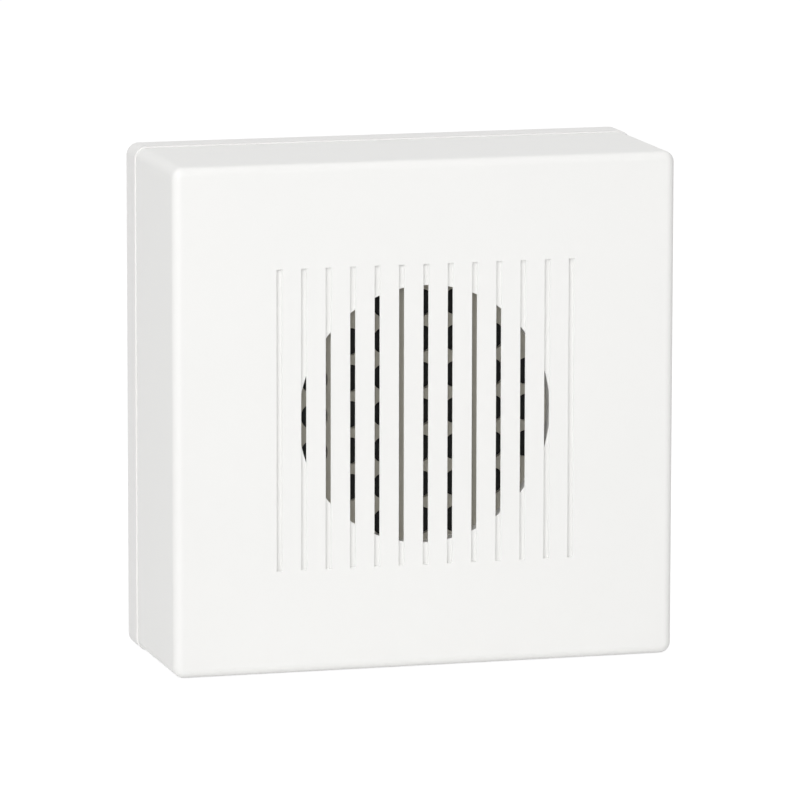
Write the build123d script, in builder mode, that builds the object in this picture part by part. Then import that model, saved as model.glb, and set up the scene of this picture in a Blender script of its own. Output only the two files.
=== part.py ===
from build123d import *
import os
from math import cos, pi, sin, sqrt

# Frame: X to the right across the front, Y into the wall, Z up, origin at the centre of the wall face.
# Sketches on Plane.XZ.offset(h) lie h in front of the wall, and a positive extrusion comes forward.

# Box
width = 100.0
height = 99.0
depth = 37.8
corner_radius = 2.4
base_depth = 7.3
reveal = 0.25
cover_wall = 2.0
front_wall = 2.4
front_rounding = 1.7
rear_edge = 0.5
cover_clearance = 0.1

# Grooved field and sound opening in the front
groove_count = 13
groove_pitch = 4.83
groove_width = 1.2
groove_length = 58.4
groove_depth = 0.9
opening_radius = 25.0
opening_overlap = 0.05
collar_wall = 2.5
collar_height = 1.3

# Perforated guard behind the opening
guard_side = 60.0
guard_corner = 4.0
guard_thickness = 1.2
guard_hole_radius = 2.65
guard_hole_pitch = 7.07
guard_hole_rows = 7
guard_boss_radius = 3.2
guard_screw_inset = 3.5
cloth_thickness = 0.3
cloth_margin = 1.5

# Base
floor = 2.2
tab_thickness = 1.6
tab_length = 14.0
tab_rise = 3.4
tab_spacing = 50.0
stop_gap = 0.3
stop_width = 1.4
stop_projection = 1.3
rib_width = 1.4
rib_height = 2.0
rib_margin = 4.0
slot_spacing = 60.0
slot_width = 4.4
slot_length = 9.0
slot_pad_margin = 2.2
slot_pad_height = 1.0

# Solenoid
yoke_thickness = 1.6
yoke_width = 18.0
yoke_bend = 2.0
yoke_ear_width = 9.0
yoke_ear_reach = 20.0
yoke_boss_radius = 4.0
yoke_boss_height = 1.6
flange_radius = 10.0
flange_thickness = 1.5
flange_gap = 0.3
bobbin_end_gap = 0.2
bobbin_wall = 0.85
lug_width = 4.0
lug_drop = 2.0
winding_radius = 9.2
sleeve_radius = 5.0
sleeve_wall = 0.85
seat_gap = 0.05
plunger_radius = 4.1
plunger_length = 42.0
plunger_chamfer = 0.5
shoulder_length = 1.6
clip_thickness = 0.8
clip_radius = 5.9
clip_groove_radius = 3.4
clip_mouth = 5.2
clip_side_gap = 0.05

# Return spring
spring_length = 10.0
spring_wire_radius = 0.25
spring_wire_sides = 6
spring_radius = 4.8
spring_turns = 5
spring_end_gap = 0.15

# Strikers
left_gap = 3.0
right_gap = 5.0
left_striker_length = 5.85
striker_radius = 2.6
striker_nose_radius = 1.7
striker_nose_length = 1.2
striker_shank_radius = 1.2
striker_shank_length = 4.0
striker_collar_radius = 3.5
striker_collar_length = 1.5

# Tone bars and their hangers
bar_thickness = 2.5
bar_width = 18.0
high_bar_length = 68.0
low_bar_length = 76.0
bar_corner = 1.5
bar_edge = 0.4
node_share = 0.224
grommet_radius = 5.0
grommet_neck_radius = 3.4
grommet_flange = 1.5
pin_radius = 1.5
pin_head_radius = 3.0
pin_head_height = 1.0
pin_embed = 2.4
hanger_thickness = 2.8
hanger_foot = 13.0
hanger_radius = 4.5

# Terminal block
block_width = 22.0
block_height = 10.5
block_depth = 11.0
block_centre = -29.75
block_edge = 0.6
block_pad = 1.2
pole_spacing = 12.0
cage_side = 5.0
cage_length = 8.0
cage_gap = 0.1
wire_bore_radius = 1.4
wire_bore_set = 4.6
lead_radius = 0.7
lead_sides = 6
lead_gap = 0.1
lead_insertion = 1.5
lead_drop = 6.5
lead_bend_radius = 3.4
lead_set = 4.4

# Cable entry
entry_centre = -40.7
entry_bore_radius = 3.0
entry_neck_radius = 4.1
entry_flange_radius = 5.5
entry_flange = 1.3
entry_rear_flange = 1.0
entry_recess = 1.2
entry_fit = 0.1
entry_edge = 0.4

# Pan-head screws, whose heads follow from the shank's radius
guard_screw_radius = 0.95
guard_screw_length = 3.0
yoke_screw_radius = 1.45
yoke_screw_length = 4.4
terminal_screw_radius = 1.0
terminal_screw_length = 4.2
block_screw_radius = 1.05
block_screw_length = 10.2
pilot_clearance = 0.05
pilot_extra = 0.2
head_radius_share = 1.9
head_height_share = 1.35
head_taper = 18
recess_span_share = 0.62
recess_arm_share = 0.16
recess_depth_share = 0.55

overrun = 1.0

# Places that several pieces share
cover_width = width - 2 * reveal
cover_height = height - 2 * reveal
cover_depth = depth - base_depth
inner_width = cover_width - 2 * cover_wall
inner_height = cover_height - 2 * cover_wall
inner_corner = corner_radius - reveal - cover_wall + cover_clearance
tab_outer_x = inner_width / 2 - cover_clearance
tab_outer_z = inner_height / 2 - cover_clearance
tab_inner_x = tab_outer_x - tab_thickness
tab_inner_z = tab_outer_z - tab_thickness
tab_front = base_depth + tab_rise
hanger_inner = tab_inner_x - hanger_thickness
bar_outer = hanger_inner - grommet_flange
bar_inner = bar_outer - bar_thickness
pin_seat = bar_inner - grommet_flange
core_left = left_gap + left_striker_length - bar_inner
core_right = core_left + plunger_length
yoke_length = 2 * (-core_left - shoulder_length - clip_thickness - spring_length)
rib_spacing = yoke_length + 2 * rib_margin
yoke_hole_reach = yoke_ear_reach - yoke_ear_width / 2
web_back = floor + yoke_boss_height
web_front = web_back + yoke_thickness
coil_axis = web_front + flange_gap + flange_radius
guard_front = depth - front_wall - collar_height
guard_back = guard_front - guard_thickness
guard_boss_place = guard_side / 2 - guard_screw_inset
sleeve_bore = sleeve_radius - sleeve_wall
bobbin_bore = sleeve_radius + seat_gap
bobbin_core = bobbin_bore + bobbin_wall
bobbin_half = yoke_length / 2 - yoke_thickness - bobbin_end_gap
low_node = low_bar_length * (1 / 2 - node_share)
high_node = high_bar_length * (1 / 2 - node_share)
block_back = floor + block_pad
block_front = block_back + block_depth
block_top = block_centre + block_height / 2
block_bottom = block_centre - block_height / 2
block_screw_seat = block_front - block_screw_radius * head_height_share
terminal_seat = block_front - terminal_screw_radius * head_height_share
cage_middle = block_back + wire_bore_set
hangers = ((-1, high_node), (1, low_node))
pole_sides = (-pole_spacing / 2, pole_spacing / 2)

coil_line = Axis((0, -coil_axis, 0), (1, 0, 0))
coil_plane = Plane(origin=(0, -coil_axis, 0), x_dir=(1, 0, 0), z_dir=(0, 0, 1))
groove_front = Plane.XZ.offset(depth)
fixing_places = GridLocations(slot_spacing, slot_spacing, 2, 2)
guard_places = GridLocations(2 * guard_boss_place, 2 * guard_boss_place, 2, 2)
yoke_places = GridLocations(0, 2 * yoke_hole_reach, 1, 2)
block_place = Locations((0, block_centre))
terminal_places = Locations(*[(x, block_centre) for x in pole_sides])
cage_places = Locations(*[(x, -cage_middle) for x in pole_sides])


def finish_piece(piece, name):
    """Label a finished piece and write it as one file."""
    piece.label = name
    export_step(piece, f"parts/{name}.step")


def tab_outlines(length, inner_x, outer_x, inner_z, outer_z):
    """Rectangles on the four sides at the locating tabs, between an inner and an outer face."""
    for side, node in hangers:
        with Locations(*[(side * (inner_x + outer_x) / 2, z) for z in (-node, node)]):
            Rectangle(outer_x - inner_x, length)
    with GridLocations(tab_spacing, inner_z + outer_z, 2, 2):
        Rectangle(length, outer_z - inner_z)


def screw_group(plane, places, radius, length):
    """Pan-head screws with a cross recess, heads standing on the plane along its normal."""
    head_radius = radius * head_radius_share
    head_height = radius * head_height_share
    span = 2 * head_radius * recess_span_share
    arm = 2 * head_radius * recess_arm_share
    with BuildPart() as screws:
        with BuildSketch(plane):
            with places:
                Circle(head_radius)
        extrude(amount=head_height, taper=head_taper)
        with BuildSketch(plane):
            with places:
                Circle(radius)
        extrude(amount=-length)
        with BuildSketch(plane.offset(head_height * (1 - recess_depth_share))):
            with places:
                Rectangle(span, arm)
                Rectangle(arm, span)
        extrude(amount=head_height, mode=Mode.SUBTRACT)
    return screws.part


def biarc_middle(first, first_way, last, last_way):
    """Middle point and its way, of the two equal-handled arcs that join two points along given ways."""
    span = last - first
    ways = first_way + last_way
    a = 2 * (first_way.dot(last_way) - 1)
    b = -2 * span.dot(ways)
    c = span.dot(span)
    handle = (-b - sqrt(b * b - 4 * a * c)) / (2 * a)
    near = first + first_way * handle
    far = last - last_way * handle
    return (near + far) / 2, (far - near).normalized()


os.makedirs("parts", exist_ok=True)

# Base: a shallow moulded tray that screws to the wall and carries the whole mechanism
with BuildPart() as base:
    with BuildSketch(Plane.XZ):
        RectangleRounded(width, height, corner_radius)
    extrude(amount=base_depth)
    chamfer(base.faces().sort_by(Axis.Y)[-1].edges(), rear_edge)
    with BuildSketch(Plane.XZ.offset(floor)):
        Rectangle(2 * tab_outer_x, 2 * tab_outer_z)
    extrude(amount=base_depth, mode=Mode.SUBTRACT)

    # Locating tabs that the cover slides over
    with BuildSketch(Plane.XZ.offset(floor)):
        tab_outlines(tab_length, tab_inner_x, tab_outer_x, tab_inner_z, tab_outer_z)
    extrude(amount=tab_front - floor)

    # Stiffening ribs on the floor
    with BuildSketch(Plane.XZ.offset(floor)):
        with GridLocations(rib_spacing, 0, 2, 1):
            Rectangle(rib_width, 2 * tab_outer_z)
        with GridLocations(tab_outer_x + rib_spacing / 2, 0, 2, 1):
            Rectangle(tab_outer_x - rib_spacing / 2, rib_width)
    extrude(amount=rib_height)

    # Hanger posts for the tone bars, each a tapered foot under a round eye
    for side, node in hangers:
        post_left = hanger_inner if side > 0 else -tab_inner_x
        with BuildSketch(Plane.YZ.offset(post_left)):
            for z in (-node, node):
                with BuildLine():
                    Polyline(
                        (-floor, z - hanger_foot / 2),
                        (-floor, z + hanger_foot / 2),
                        (-coil_axis, z + hanger_radius),
                        (-coil_axis, z - hanger_radius),
                        close=True,
                    )
                make_face()
                with Locations((-coil_axis, z)):
                    Circle(hanger_radius)
        extrude(amount=hanger_thickness)

    # Bosses for the yoke, pads round the wall slots and the terminal block's pad
    with BuildSketch(Plane.XZ.offset(floor)):
        with yoke_places:
            Circle(yoke_boss_radius)
    extrude(amount=yoke_boss_height)
    with BuildSketch(Plane.XZ.offset(floor)):
        with fixing_places:
            SlotOverall(slot_length + 2 * slot_pad_margin, slot_width + 2 * slot_pad_margin)
    extrude(amount=slot_pad_height)
    with BuildSketch(Plane.XZ.offset(floor)):
        with block_place:
            Rectangle(block_width, block_height)
    extrude(amount=block_pad)

    # Wall slots, cable entry and the recess behind it
    with BuildSketch(Plane.XZ.offset(-overrun)):
        with fixing_places:
            SlotOverall(slot_length, slot_width)
        with Locations((0, entry_centre)):
            Circle(entry_neck_radius + entry_fit)
    extrude(amount=2 * overrun + base_depth, mode=Mode.SUBTRACT)
    with BuildSketch(Plane.XZ.offset(entry_recess)):
        with Locations((0, entry_centre)):
            Circle(entry_flange_radius + entry_fit)
    extrude(amount=-entry_recess - overrun, mode=Mode.SUBTRACT)

    # Pilot holes for the screws and sockets for the bar pins
    with BuildSketch(Plane.XZ.offset(web_front - yoke_screw_length - pilot_extra)):
        with yoke_places:
            Circle(yoke_screw_radius + pilot_clearance)
    extrude(amount=base_depth, mode=Mode.SUBTRACT)
    with BuildSketch(Plane.XZ.offset(block_screw_seat - block_screw_length - pilot_extra)):
        with block_place:
            Circle(block_screw_radius + pilot_clearance)
    extrude(amount=base_depth, mode=Mode.SUBTRACT)
    for side, node in hangers:
        with BuildSketch(Plane.YZ.offset(side * (hanger_inner - overrun))):
            with Locations((-coil_axis, -node), (-coil_axis, node)):
                Circle(pin_radius + pilot_clearance)
        extrude(amount=side * (overrun + pin_embed), mode=Mode.SUBTRACT)
finish_piece(base.part, "base")

# Cover: a deep moulded shell, its front grooved, with a round sound opening cut into the grooves from behind
with BuildPart() as cover:
    with BuildSketch(Plane.XZ.offset(base_depth)):
        RectangleRounded(cover_width, cover_height, corner_radius - reveal)
    extrude(amount=cover_depth)
    fillet(cover.faces().sort_by(Axis.Y)[0].edges(), front_rounding)
    with BuildSketch(Plane.XZ.offset(base_depth - overrun)):
        RectangleRounded(inner_width, inner_height, inner_corner)
    extrude(amount=cover_depth - front_wall + overrun, mode=Mode.SUBTRACT)

    # Ribs that stop on the base's tabs, and the collar and bosses that the guard sits on
    with BuildSketch(Plane.XZ.offset(tab_front + stop_gap)):
        tab_outlines(
            stop_width,
            inner_width / 2 - stop_projection,
            inner_width / 2 + cover_wall / 2,
            inner_height / 2 - stop_projection,
            inner_height / 2 + cover_wall / 2,
        )
    extrude(amount=depth - front_wall / 2 - tab_front - stop_gap)
    with BuildSketch(Plane.XZ.offset(guard_front)):
        Circle(opening_radius + collar_wall)
        with guard_places:
            Circle(guard_boss_radius)
    extrude(amount=collar_height + front_wall / 2)

    # Sound opening from behind, then the grooves from the front
    with BuildSketch(Plane.XZ.offset(guard_front - overrun)):
        Circle(opening_radius)
    opening_front = depth - groove_depth + opening_overlap
    extrude(amount=opening_front - guard_front + overrun, mode=Mode.SUBTRACT)
    with BuildSketch(groove_front):
        with GridLocations(groove_pitch, 0, groove_count, 1):
            Rectangle(groove_width, groove_length)
    extrude(amount=-groove_depth, mode=Mode.SUBTRACT)

    # Pilot holes in the guard's bosses
    with BuildSketch(Plane.XZ.offset(guard_back)):
        with guard_places:
            Circle(guard_screw_radius + pilot_clearance)
    extrude(amount=guard_screw_length + pilot_extra, mode=Mode.SUBTRACT)
finish_piece(cover.part, "cover")

# Guard: a flat plate whose round holes fill the sound opening, screwed behind the collar
reach = opening_radius / guard_hole_pitch
half_rows = guard_hole_rows // 2
rows = range(-half_rows, half_rows + 1)
guard_holes = [
    (column * guard_hole_pitch, row * guard_hole_pitch)
    for column in rows
    for row in rows
    if column**2 + row**2 < reach**2
]
with BuildPart() as guard_plate:
    with BuildSketch(Plane.XZ.offset(guard_back)):
        RectangleRounded(guard_side, guard_side, guard_corner)
        with Locations(*guard_holes):
            Circle(guard_hole_radius, mode=Mode.SUBTRACT)
        with guard_places:
            Circle(guard_screw_radius + pilot_clearance, mode=Mode.SUBTRACT)
    extrude(amount=guard_thickness)
finish_piece(guard_plate.part, "guard_plate")
guard_screws = screw_group(
    -Plane.XZ.offset(guard_back), guard_places, guard_screw_radius, guard_screw_length
)
finish_piece(guard_screws, "guard_screws")

# Dust cloth: a thin black disc glued to the guard's back, so that nothing shows through the holes
with BuildPart() as dust_cloth:
    with BuildSketch(Plane.XZ.offset(guard_back)):
        Circle(opening_radius + cloth_margin)
    extrude(amount=-cloth_thickness)
finish_piece(dust_cloth.part, "dust_cloth")

# Yoke: a strip of steel bent into a U round the coil, with two ears that screw to the base
leg_outer = yoke_length / 2
leg_inner = leg_outer - yoke_thickness
leg_tip = coil_axis + yoke_width / 2
with BuildPart() as coil_yoke:
    with BuildSketch(Plane.XY):
        with BuildLine():
            outside = FilletPolyline(
                (-leg_outer, -leg_tip),
                (-leg_outer, -web_back),
                (leg_outer, -web_back),
                (leg_outer, -leg_tip),
                radius=yoke_bend,
            )
            inside = FilletPolyline(
                (-leg_inner, -leg_tip),
                (-leg_inner, -web_front),
                (leg_inner, -web_front),
                (leg_inner, -leg_tip),
                radius=yoke_bend - yoke_thickness,
            )
            Line(outside @ 0, inside @ 0)
            Line(outside @ 1, inside @ 1)
        make_face()
    extrude(amount=yoke_width / 2, both=True)
    with BuildSketch(Plane.YZ.offset(-leg_outer)):
        with Locations((-(coil_axis + web_back) / 2, 0)):
            Rectangle(coil_axis - web_back, yoke_width)
        with Locations((-coil_axis, 0)):
            Circle(yoke_width / 2)
    extrude(amount=yoke_length, mode=Mode.INTERSECT)
    with BuildSketch(Plane.XZ.offset(web_back)):
        SlotOverall(2 * yoke_ear_reach, yoke_ear_width, rotation=90)
    extrude(amount=yoke_thickness)
    with BuildSketch(Plane.YZ.offset(-leg_outer - overrun)):
        with Locations((-coil_axis, 0)):
            Circle(sleeve_radius + seat_gap)
    extrude(amount=yoke_length + 2 * overrun, mode=Mode.SUBTRACT)
    with BuildSketch(Plane.XZ.offset(floor)):
        with yoke_places:
            Circle(yoke_screw_radius + pilot_clearance)
    extrude(amount=web_front, mode=Mode.SUBTRACT)
finish_piece(coil_yoke.part, "coil_yoke")
yoke_screws = screw_group(
    Plane.XZ.offset(web_front), yoke_places, yoke_screw_radius, yoke_screw_length
)
finish_piece(yoke_screws, "yoke_screws")

# Bobbin: a tube with two flanges, each with a lug that a lead leaves from
with BuildPart() as coil_bobbin:
    with BuildSketch(Plane.YZ.offset(-bobbin_half)):
        with Locations((-coil_axis, 0)):
            Circle(bobbin_core)
    extrude(amount=2 * bobbin_half)
    for flange_start in (-bobbin_half, bobbin_half - flange_thickness):
        with BuildSketch(Plane.YZ.offset(flange_start)):
            with Locations((-coil_axis, 0)):
                Circle(flange_radius)
            with Locations((-coil_axis, -(flange_radius + lug_drop) / 2)):
                Rectangle(lug_width, flange_radius + lug_drop)
        extrude(amount=flange_thickness)
    with BuildSketch(Plane.YZ.offset(-bobbin_half - overrun)):
        with Locations((-coil_axis, 0)):
            Circle(bobbin_bore)
    extrude(amount=2 * (bobbin_half + overrun), mode=Mode.SUBTRACT)
finish_piece(coil_bobbin.part, "coil_bobbin")

with BuildPart() as coil_winding:
    with BuildSketch(Plane.YZ.offset(flange_thickness - bobbin_half)):
        with Locations((-coil_axis, 0)):
            Circle(winding_radius)
            Circle(bobbin_core, mode=Mode.SUBTRACT)
    extrude(amount=2 * (bobbin_half - flange_thickness))
finish_piece(coil_winding.part, "coil_winding")

with BuildPart() as coil_sleeve:
    with BuildSketch(Plane.YZ.offset(-yoke_length / 2)):
        with Locations((-coil_axis, 0)):
            Circle(sleeve_radius)
            Circle(sleeve_bore, mode=Mode.SUBTRACT)
    extrude(amount=yoke_length)
finish_piece(coil_sleeve.part, "coil_sleeve")

# Plunger: a steel slug, grooved for its clip and drilled at both ends for the strikers
clip_left = core_left + shoulder_length
with BuildPart() as plunger_core:
    with BuildSketch(coil_plane):
        with BuildLine():
            Polyline(
                (core_left, 0),
                (core_left, plunger_radius - plunger_chamfer),
                (core_left + plunger_chamfer, plunger_radius),
                (clip_left - clip_side_gap, plunger_radius),
                (clip_left - clip_side_gap, clip_groove_radius),
                (clip_left + clip_thickness + clip_side_gap, clip_groove_radius),
                (clip_left + clip_thickness + clip_side_gap, plunger_radius),
                (core_right - plunger_chamfer, plunger_radius),
                (core_right, plunger_radius - plunger_chamfer),
                (core_right, 0),
                close=True,
            )
        make_face()
    revolve(axis=coil_line)
    for end, way in ((core_left, 1), (core_right, -1)):
        with BuildSketch(Plane.YZ.offset(end - way * overrun)):
            with Locations((-coil_axis, 0)):
                Circle(striker_shank_radius + seat_gap)
        extrude(amount=way * (overrun + striker_shank_length + pilot_extra), mode=Mode.SUBTRACT)
finish_piece(plunger_core.part, "plunger_core")

# Clip: a flat ring, open at one side, that snaps into the plunger's groove and holds the spring
with BuildPart() as plunger_clip:
    with BuildSketch(Plane.YZ.offset(clip_left)):
        with Locations((-coil_axis, 0)):
            Circle(clip_radius)
            Circle(clip_groove_radius + seat_gap, mode=Mode.SUBTRACT)
        with Locations((-coil_axis, clip_radius / 2 + overrun / 2)):
            Rectangle(clip_mouth, clip_radius + overrun, mode=Mode.SUBTRACT)
    extrude(amount=clip_thickness)
finish_piece(plunger_clip.part, "plunger_clip")


def striker(end, way, tip):
    """A moulded striker: shank in the plunger, collar against its end, rod and a domed nose at tip."""
    seat = end + way * seat_gap
    nose = tip - way * striker_nose_length
    with BuildPart() as piece:
        with BuildSketch(coil_plane):
            with BuildLine():
                Polyline(
                    (tip, 0),
                    (end - way * striker_shank_length, 0),
                    (end - way * striker_shank_length, striker_shank_radius),
                    (seat, striker_shank_radius),
                    (seat, striker_collar_radius),
                    (seat + way * striker_collar_length, striker_collar_radius),
                    (seat + way * striker_collar_length, striker_radius),
                    (nose, striker_radius),
                    (nose, striker_nose_radius),
                )
                TangentArc((tip, 0), (nose, striker_nose_radius), tangent=(0, 1))
            make_face()
        revolve(axis=coil_line)
    return piece.part


finish_piece(striker(core_left, -1, -(bar_inner - left_gap)), "striker_left")
finish_piece(striker(core_right, 1, bar_inner - right_gap), "striker_right")

# Return spring: one wire wound on the plunger between the yoke and the clip, every half turn a biarc
spring_start = -(yoke_length / 2 + spring_length - spring_end_gap - spring_wire_radius)
spring_run = spring_length - 2 * (spring_end_gap + spring_wire_radius)
halves = 2 * spring_turns
slope = spring_run / (2 * pi * spring_radius * spring_turns)
knots = []
for k in range(halves + 1):
    turn = k * pi
    across = spring_radius * cos(turn)
    up = spring_radius * sin(turn)
    place = Vector(spring_start + spring_run * k / halves, across - coil_axis, up)
    way = Vector(slope, -sin(turn), cos(turn)).normalized()
    knots.append((place, way))
with BuildPart() as return_spring:
    with BuildLine() as spring_line:
        for (place, way), (next_place, next_way) in zip(knots, knots[1:]):
            middle, middle_way = biarc_middle(place, way, next_place, next_way)
            TangentArc(place, middle, tangent=way)
            TangentArc(middle, next_place, tangent=middle_way)
    with BuildSketch(Plane(origin=knots[0][0], z_dir=knots[0][1])) as spring_section:
        RegularPolygon(spring_wire_radius, spring_wire_sides)
    sweep()
finish_piece(return_spring.part, "return_spring")
spring_wire_length = sum(e.length for e in spring_line.edges())
print("spring gap between turns", round(spring_run / spring_turns - 2 * spring_wire_radius, 3))
print("spring volume", round(return_spring.part.volume, 3))
print("section times length", round(spring_section.sketch.area * spring_wire_length, 3))


def tone_bar(side, length, node):
    """A flat steel bar on edge, drilled at the two places where its note has no movement."""
    with BuildPart() as bar:
        with BuildSketch(Plane.YZ.offset(side * bar_inner)):
            with Locations((-coil_axis, 0)):
                RectangleRounded(bar_width, length, bar_corner)
            with Locations((-coil_axis, -node), (-coil_axis, node)):
                Circle(grommet_neck_radius + seat_gap, mode=Mode.SUBTRACT)
        extrude(amount=side * bar_thickness)
        for broad_side in (0, -1):
            chamfer(bar.faces().sort_by(Axis.X)[broad_side].outer_wire().edges(), bar_edge)
    return bar.part


finish_piece(tone_bar(-1, high_bar_length, high_node), "tone_bar_high")
finish_piece(tone_bar(1, low_bar_length, low_node), "tone_bar_low")

# Grommets: rubber reels that hang the bars on their pins
with BuildPart() as bar_grommets:
    for side, node in hangers:
        for z in (-node, node):
            for start, length, radius in (
                (pin_seat, grommet_flange, grommet_radius),
                (bar_inner, bar_thickness, grommet_neck_radius),
                (bar_outer, grommet_flange, grommet_radius),
            ):
                with BuildSketch(Plane.YZ.offset(side * start)):
                    with Locations((-coil_axis, z)):
                        Circle(radius)
                extrude(amount=side * length)
            with BuildSketch(Plane.YZ.offset(side * (pin_seat - overrun))):
                with Locations((-coil_axis, z)):
                    Circle(pin_radius + seat_gap)
            extrude(amount=side * (hanger_inner - pin_seat + 2 * overrun), mode=Mode.SUBTRACT)
finish_piece(bar_grommets.part, "bar_grommets")

with BuildPart() as bar_pins:
    for side, node in hangers:
        with BuildSketch(Plane.YZ.offset(side * pin_seat)):
            with Locations((-coil_axis, -node), (-coil_axis, node)):
                Circle(pin_head_radius)
        extrude(amount=-side * pin_head_height)
        with BuildSketch(Plane.YZ.offset(side * pin_seat)):
            with Locations((-coil_axis, -node), (-coil_axis, node)):
                Circle(pin_radius)
        extrude(amount=side * (hanger_inner - pin_seat + pin_embed - pilot_extra))
finish_piece(bar_pins.part, "bar_pins")

# Terminal block: a moulded body with two poles, fixed by one screw between them
with BuildPart() as terminal_block:
    with BuildSketch(Plane.XZ.offset(block_back)):
        with block_place:
            Rectangle(block_width, block_height)
    extrude(amount=block_depth)
    chamfer(terminal_block.faces().sort_by(Axis.Y)[0].edges(), block_edge)
    with BuildSketch(Plane.XY.offset(block_bottom - overrun)):
        with cage_places:
            Rectangle(cage_side + 2 * cage_gap, cage_side + 2 * cage_gap)
    extrude(amount=overrun + cage_length + cage_gap, mode=Mode.SUBTRACT)
    with BuildSketch(Plane.XZ.offset(cage_middle)):
        with terminal_places:
            Circle(terminal_screw_radius * head_radius_share + cage_gap)
    extrude(amount=block_depth, mode=Mode.SUBTRACT)
    with BuildSketch(Plane.XY.offset(block_top + overrun)):
        with Locations(*[(x, -block_back - lead_set) for x in pole_sides]):
            Circle(lead_radius + lead_gap)
    extrude(amount=-overrun - block_height / 2, mode=Mode.SUBTRACT)
    with BuildSketch(Plane.XZ.offset(block_back - overrun)):
        with block_place:
            Circle(block_screw_radius + pilot_clearance)
    extrude(amount=block_depth + 2 * overrun, mode=Mode.SUBTRACT)
    with BuildSketch(Plane.XZ.offset(block_screw_seat)):
        with block_place:
            Circle(block_screw_radius * head_radius_share + cage_gap)
    extrude(amount=block_depth, mode=Mode.SUBTRACT)
finish_piece(terminal_block.part, "terminal_block")
terminal_block_screw = screw_group(
    Plane.XZ.offset(block_screw_seat), block_place, block_screw_radius, block_screw_length
)
finish_piece(terminal_block_screw, "terminal_block_screw")

# Cages: brass blocks inside the poles, bored for the wire and tapped for the screw
with BuildPart() as terminal_cages:
    with BuildSketch(Plane.XY.offset(block_bottom)):
        with cage_places:
            Rectangle(cage_side, cage_side)
            Circle(wire_bore_radius, mode=Mode.SUBTRACT)
    extrude(amount=cage_length)
    with BuildSketch(Plane.XZ.offset(cage_middle)):
        with terminal_places:
            Circle(terminal_screw_radius + pilot_clearance)
    extrude(amount=cage_side, mode=Mode.SUBTRACT)
finish_piece(terminal_cages.part, "terminal_cages")
terminal_screws = screw_group(
    Plane.XZ.offset(terminal_seat), terminal_places, terminal_screw_radius, terminal_screw_length
)
finish_piece(terminal_screws, "terminal_screws")

# Leads: two insulated wires from the bobbin's lugs down to the terminal block
lug_bottom = -(flange_radius + lug_drop)
lead_x = bobbin_half - flange_thickness / 2
lead_y = block_back + lead_set
lead_lengths = []
with BuildPart() as coil_leads:
    for side in (-1, 1):
        route = [
            (side * lead_x, -coil_axis, lug_bottom),
            (side * lead_x, -coil_axis, lug_bottom - lead_drop),
            (side * pole_spacing / 2, -lead_y, block_top + lead_drop),
            (side * pole_spacing / 2, -lead_y, block_top - lead_insertion),
        ]
        with BuildLine() as lead_line:
            FilletPolyline(*route, radius=lead_bend_radius)
        with BuildSketch(Plane(origin=route[0], z_dir=(0, 0, -1))) as lead_section:
            RegularPolygon(lead_radius, lead_sides)
        sweep(path=lead_line.line)
        lead_lengths.append(sum(e.length for e in lead_line.edges()))
finish_piece(coil_leads.part, "coil_leads")
print("lead lengths", [round(length, 2) for length in lead_lengths])
print("leads volume", round(coil_leads.part.volume, 3))
print("section times length", round(lead_section.sketch.area * sum(lead_lengths), 3))

# Cable grommet: a rubber bush snapped into the base, its rear flange sunk clear of the wall
with BuildPart() as cable_grommet:
    for start, length, radius in (
        (entry_recess - entry_rear_flange, entry_rear_flange, entry_flange_radius),
        (entry_recess, floor - entry_recess, entry_neck_radius),
        (floor, entry_flange, entry_flange_radius),
    ):
        with BuildSketch(Plane.XZ.offset(start)):
            with Locations((0, entry_centre)):
                Circle(radius)
        extrude(amount=length)
    chamfer(cable_grommet.edges().sort_by(Axis.Y)[0], entry_edge)
    with BuildSketch(Plane.XZ.offset(-overrun)):
        with Locations((0, entry_centre)):
            Circle(entry_bore_radius)
    extrude(amount=floor + entry_flange + 2 * overrun, mode=Mode.SUBTRACT)
finish_piece(cable_grommet.part, "cable_grommet")
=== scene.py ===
"""Doorbell chime box: the finishes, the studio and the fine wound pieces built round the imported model.

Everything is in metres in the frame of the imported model: +X to the right, +Y into the wall, +Z up.
"""

import logging
import math
from dataclasses import dataclass
from enum import Enum
from typing import ClassVar

import bmesh
import bpy
import numpy as np
from mathutils import Matrix, Vector


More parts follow.
